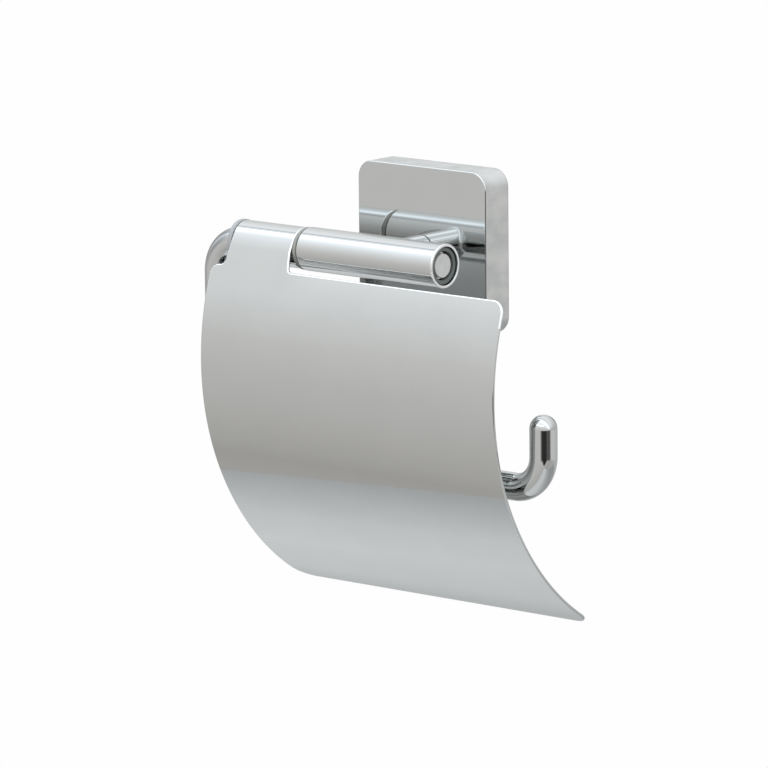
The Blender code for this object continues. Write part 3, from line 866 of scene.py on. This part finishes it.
def make_small_pieces():
    bore = ROD_R + GAP
    low, high = BOX["spacer_ring"]
    radius, left, right, step = high[2], low[0] - 0.3 * MM, high[0], 0.2 * MM
    neck = radius - 1.5 * MM
    turned_piece(
        "spacer",
        "spacer_ring",
        beige_plastic,
        [
            (radius, right - step, SOFT),
            (radius, left, SOFT),
            (bore, left, 0),
            (bore, right, 0),
            (neck, right, 0),
            (neck, right - step, 0),
        ],
    )
    rings = (
        ("thrust_washer", "thrust_ring", washer_plastic),
        ("bush_tube_left", "tube_bush_left", grey_plastic),
        ("bush_tube_right", "tube_bush_right", grey_plastic),
        ("bush_hinge_left", "hinge_bush_left", grey_plastic),
        ("bush_hinge_right", "hinge_bush_right", grey_plastic),
    )
    for name, node, look in rings:
        turned_piece(name, node, look, ring_corners(node, bore))
    low, high = BOX["rod_end_cap"]
    thick = 1.2 * MM
    turned_piece(
        "rod_cap",
        "rod_end_cap",
        pale_plastic,
        [
            (0, high[0], 0),
            (high[2], high[0], 0.35 * MM),
            (high[2], high[0] - thick, 0),
            (SCREW_R, high[0] - thick, 0),
            (SCREW_R, low[0], 0),
            (0, low[0], 0),
        ],
    )
    grub_screws = (("grub_screw_of_rosette", "rosette_grub_screw"), ("grub_screw_of_rod", "rod_grub_screw"))
    for name, node in grub_screws:
        low, high = BOX[node][0][2], BOX[node][1][2]
        floor = low + SOCKET_DEPTH
        corners = [
            (0, high, 0),
            (SCREW_R, high, 2 * SOFT),
            (SCREW_R, low, 2 * SOFT),
            (SOCKET_R, low, 0),
            (SOCKET_R, floor, 0),
            (0, floor, 0),
        ]
        turned_piece(name, node, steel, corners, Z, SOCKET_R)
    low, high = BOX["arm_screw"]
    floor, under = high[1] - SOCKET_DEPTH, high[1] - 2.6 * MM
    corners = [
        (0, floor, 0),
        (SOCKET_R, floor, 0),
        (SOCKET_R, high[1], 0),
        (high[2], high[1], 0.5 * MM),
        (high[2], under, SOFT),
        (SCREW_R, under, 0),
        (SCREW_R, low[1], 2 * SOFT),
        (0, low[1], 0),
    ]
    turned_piece("screw_of_arm", "arm_screw", steel, corners, Y, SOCKET_R)
    turned_piece("washer_of_arm", "arm_washer", steel, ring_corners("arm_washer", ARM_HOLE_R, 1), Y)
    low, high = BOX["locating_pin"]
    radius = high[0]
    corners = [(0, high[1], 0), (radius, high[1], SOFT), (radius, low[1], SOFT), (0, low[1], 0)]
    turned_piece("pin_of_arm", "locating_pin", steel, corners, Y)


make_arm()
make_rod()
make_lid()
make_rosette()
make_small_pieces()

bracket = frame["nodes"]["wall_bracket"].data
bracket.materials.clear()
bracket.materials.append(zinc)


# Camera at the photograph's viewing angle

AZIMUTH = math.radians(40.48)
ELEVATION = math.radians(10.48)
ROLL = math.radians(0.53)
DISTANCE = 2.321
AIM_RIGHT, AIM_UP = 2.15 * MM, -45.44 * MM
LENS = 303.4

right = Vector((math.cos(AZIMUTH), math.sin(AZIMUTH), 0))
level_back = Vector((math.sin(AZIMUTH), -math.cos(AZIMUTH), 0))
back = math.cos(ELEVATION) * level_back + math.sin(ELEVATION) * Vector(Z)
up = back.cross(right)
camera = bpy.data.objects.new("camera", bpy.data.cameras.new("camera"))
bpy.context.scene.collection.objects.link(camera)
camera.data.lens = LENS
camera.data.sensor_width = 36
camera.data.clip_start = 0.05
camera.data.clip_end = 100
turned_right = math.cos(ROLL) * right - math.sin(ROLL) * up
turned_up = math.sin(ROLL) * right + math.cos(ROLL) * up
pose = Matrix((turned_right, turned_up, back)).transposed().to_4x4()
pose.translation = Vector(AXIS) + DISTANCE * back + AIM_RIGHT * right + AIM_UP * up
camera.matrix_world = pose
bpy.context.scene.camera = camera
bpy.context.scene.view_settings.view_transform = "Standard"


# Studio: a pale table, a big soft light overhead, a window in front and one dark upright panel

STUDIO = (
    # turn about X from the front, upwards; brightness; coolness
    (-180, 0.66, 0.0),
    (-165, 0.70, 0.0),
    (-140, 0.62, 0.0),
    (-100, 0.60, 0.0),
    (-64, 0.58, -0.03),
    (-56, 0.555, -0.03),
    (-50, 0.605, -0.025),
    (-38, 0.675, -0.025),
    (-26, 0.74, -0.015),
    (-14, 0.795, -0.01),
    (0, 0.885, -0.01),
    (14, 1.03, 0.01),
    (24, 1.14, 0.01),
    (38, 1.34, 0.04),
    (54, 1.64, 0.05),
    (61, 1.85, 0.06),
    (66, 2.5, 0.09),
    (79, 2.5, 0.09),
    (84, 1.36, 0.05),
    (91.8, 1.35, 0.04),
    (94, 0.3, 0.04),
    (96.2, 1.36, 0.04),
    (108, 1.37, 0.03),
    (122, 1.23, 0.02),
    (134, 1.11, 0.02),
    (146, 1.0, 0.02),
    (158, 0.84, 0.01),
    (170, 0.77, 0.01),
    (180, 0.66, 0.0),
)
DARK_FRONT = (
    # turn about Z from the front, to the right; how much of the light is left
    (-180, 0.88),
    (-160, 0.75),
    (-144, 0.72),
    (-120, 0.93),
    (-100, 0.85),
    (-60, 1.0),
    (12, 1.0),
    (22, 0.2),
    (31, 0.05),
    (62, 0.05),
    (68, 0.2),
    (90, 0.22),
    (97, 0.6),
    (103, 1.35),
    (120, 1.25),
    (140, 1.15),
    (152, 1.15),
    (168, 1.04),
    (180, 0.88),
)

# Soft-edged parts of the surroundings as (start, full, full until, end). Turns are about Z from the front,
# and a height is the sine of the angle above level.
PANEL_HEIGHTS = (-0.43, -0.38, -0.15, -0.10)
DOORWAY_TURNS = (-177, -171, -156, -149)
DOORWAY_HEIGHTS = (-0.1, 0, 0.3, 0.4)
WINDOW_TURNS = (-38, -30, 39, 44)
WINDOW_HEIGHTS = (0.44, 0.49, 0.60, 0.66)
WINDOW_BAR_TURNS = (20, 24, 28, 32)

# The dark panel's foot rises to both sides of its middle, by PANEL_RISE for a whole turn, up to PANEL_HALF
PANEL_MIDDLE = 48
PANEL_HALF = 0.06
PANEL_RISE = 2.6

# The far left end, from its end inwards, how much light is left at it, and the heights where that begins
LEFT_END = (-0.88, -0.68)
LEFT_END_LEFT = 0.5
LEFT_END_HEIGHTS = (-0.15, 0.05)

WANDER = 0.012  # of all upright edges, as a share of the circle

STRENGTH = 2  # of the surroundings, whose colours are divided by it
DOORWAY_TINT = (0.3, 0.32, 0.34)
WINDOW_LIGHT = (0.55, 0.59, 0.64)

# A pool of light painted into the table's colour: brighter near its middle, with its falloff, tilt and warm tint
POOL = (
    # y of the table, on its middle line; how pale the painted pool of light makes it there
    (-0.5, 0.34),
    (-0.35, 0.39),
    (-0.2, 0.48),
    (-0.06, 0.57),
    (0.1, 0.60),
    (0.32, 0.51),
    (0.5, 0.39),
    (0.8, 0.31),
)
POOL_MIDDLE_X = -0.5
POOL_ASKEW = 0.45
POOL_TINT = (1.13, 1.10, 1.07)
TABLE_Z = -0.65
TABLE_CORNERS = ((-0.583, -0.307), (-0.40, -0.456), (0.9, -0.8), (1.2, 1.05), (-2.0, 1.05), (-1.9, 0.81))


def ramp(tree, value, stops):
    made = node_of(tree, "ShaderNodeValToRGB")
    tree.links.new(value, made.inputs["Fac"])
    elements = made.color_ramp.elements
    while len(elements) < len(stops):
        elements.new(1.0)
    for _ in range(2):  # once more, in case they were sorted as they moved
        for element, (place, _) in zip(elements, stops):
            element.position = place
    for element, (_, colour) in zip(elements, stops):
        element.color = colour
    return made.outputs["Color"]


def arithmetic(tree, kind, *values):
    made = node_of(tree, "ShaderNodeMath", operation=kind)
    for socket, value in zip(made.inputs, values):
        if isinstance(value, (int, float)):
            socket.default_value = value
        else:
            tree.links.new(value, socket)
    return made.outputs["Value"]


def turn_share(turn):
    """A turn from -180 to 180 degrees as a share of the circle."""
    return (turn + 180) / 360


def inside(tree, value, start, full, until, end):
    """How far a value is inside a range with soft edges, from 0 to 1."""
    rising = between(tree, value, 0, 1, start, full)
    return arithmetic(tree, "MULTIPLY", rising, between(tree, value, 1, 0, until, end))


def blended(tree, kind, share, light, other):
    """Light with another colour multiplied with it or added to it, by a share."""
    made = node_of(tree, "ShaderNodeMix", data_type="RGBA", blend_type=kind)
    tree.links.new(share, made.inputs["Factor"])
    tree.links.new(light, made.inputs[6])
    if isinstance(other, tuple):
        made.inputs[7].default_value = (*other, 1)
    else:
        tree.links.new(other, made.inputs[7])
    return made.outputs[2]


def make_world():
    """The studio in mirrors and as light, and a plain white behind the object."""
    world = bpy.data.worlds.new("studio")
    bpy.context.scene.world = world
    world.use_nodes = True
    tree = world.node_tree
    tree.nodes.clear()
    where = node_of(tree, "ShaderNodeTexCoord")
    parts = node_of(tree, "ShaderNodeSeparateXYZ")
    tree.links.new(where.outputs["Generated"], parts.inputs["Vector"])
    x, y, z = (parts.outputs[axis] for axis in "XYZ")
    forward = arithmetic(tree, "MULTIPLY", y, -1.0)
    over = between(tree, arithmetic(tree, "ARCTAN2", z, forward), 0, 1, -math.pi, math.pi)
    about = between(tree, arithmetic(tree, "ARCTAN2", x, forward), 0, 1, -math.pi, math.pi)

    stops = []
    for turn, bright, cool in STUDIO:
        colour = (bright * (1 - cool), bright, bright * (1 + cool))
        stops.append((turn_share(turn), [part / STRENGTH for part in colour] + [1]))
    light = ramp(tree, over, stops)
    shade = ramp(tree, about, [(turn_share(turn), (left, left, left, 1)) for turn, left in DARK_FRONT])

    wander = node_of(tree, "ShaderNodeTexNoise")
    wander.inputs["Scale"].default_value = 7
    wander.inputs["Detail"].default_value = 3
    tree.links.new(where.outputs["Generated"], wander.inputs["Vector"])
    wandered = between(tree, wander.outputs["Fac"], -WANDER, WANDER, 0.3, 0.7)
    about = arithmetic(tree, "ADD", about, wandered)

    left_end = between(tree, x, LEFT_END_LEFT, 1, *LEFT_END)
    above = between(tree, z, 0, 1, *LEFT_END_HEIGHTS)
    light = blended(tree, "MULTIPLY", above, light, left_end)

    doorway = inside(tree, about, *map(turn_share, DOORWAY_TURNS))
    doorway = arithmetic(tree, "MULTIPLY", doorway, inside(tree, z, *DOORWAY_HEIGHTS))
    light = blended(tree, "MULTIPLY", doorway, light, DOORWAY_TINT)

    aside = arithmetic(tree, "ABSOLUTE", arithmetic(tree, "SUBTRACT", about, turn_share(PANEL_MIDDLE)))
    rise = arithmetic(tree, "MULTIPLY", arithmetic(tree, "MINIMUM", aside, PANEL_HALF), PANEL_RISE)
    foot, foot_full, top_full, top = PANEL_HEIGHTS
    low = between(tree, arithmetic(tree, "SUBTRACT", z, rise), 0, 1, foot, foot_full)
    band = arithmetic(tree, "MULTIPLY", low, between(tree, z, 1, 0, top_full, top))
    light = blended(tree, "MULTIPLY", band, light, shade)

    window = inside(tree, about, *map(turn_share, WINDOW_TURNS))
    window = arithmetic(tree, "MULTIPLY", window, inside(tree, z, *WINDOW_HEIGHTS))
    bar = inside(tree, about, *map(turn_share, WINDOW_BAR_TURNS))
    window = arithmetic(tree, "MULTIPLY", window, arithmetic(tree, "SUBTRACT", 1, bar))
    light = blended(tree, "ADD", window, light, WINDOW_LIGHT)

    surroundings = node_of(tree, "ShaderNodeBackground")
    tree.links.new(light, surroundings.inputs["Color"])
    surroundings.inputs["Strength"].default_value = STRENGTH
    backdrop = node_of(tree, "ShaderNodeBackground")
    backdrop.inputs["Color"].default_value = (0.99, 0.99, 0.99, 1)
    seen = node_of(tree, "ShaderNodeLightPath")
    chosen = node_of(tree, "ShaderNodeMixShader")
    tree.links.new(seen.outputs["Is Camera Ray"], chosen.inputs["Fac"])
    tree.links.new(surroundings.outputs["Background"], chosen.inputs[1])
    tree.links.new(backdrop.outputs["Background"], chosen.inputs[2])
    output = node_of(tree, "ShaderNodeOutputWorld")
    tree.links.new(chosen.outputs["Shader"], output.inputs["Surface"])


def make_floor():
    """A pale table with the studio light's soft pool painted into its colour, lying askew on it."""
    mesh = bpy.data.meshes.new("floor")
    mesh.from_pydata([(x, y, TABLE_Z) for x, y in TABLE_CORNERS], [], [list(range(len(TABLE_CORNERS)))])
    look, tree, shader = new_look("floor")
    where = node_of(tree, "ShaderNodeTexCoord")
    parts = node_of(tree, "ShaderNodeSeparateXYZ")
    tree.links.new(where.outputs["Object"], parts.inputs["Vector"])
    across = arithmetic(tree, "SUBTRACT", parts.outputs["X"], POOL_MIDDLE_X)
    askew = arithmetic(tree, "MULTIPLY", across, POOL_ASKEW)
    first, last = POOL[0][0], POOL[-1][0]
    away = between(tree, arithmetic(tree, "ADD", parts.outputs["Y"], askew), 0, 1, first, last)
    stops = [((y - first) / (last - first), [part * pale for part in POOL_TINT] + [1]) for y, pale in POOL]
    tree.links.new(ramp(tree, away, stops), shader.inputs["Base Color"])
    tree.links.new(between(tree, noise(tree, 3, 3), 0.75, 0.85), shader.inputs["Roughness"])
    shader.inputs["Specular IOR Level"].default_value = 0.1
    mesh.materials.append(look)
    floor = bpy.data.objects.new("floor", mesh)
    bpy.context.scene.collection.objects.link(floor)


make_world()
make_floor()
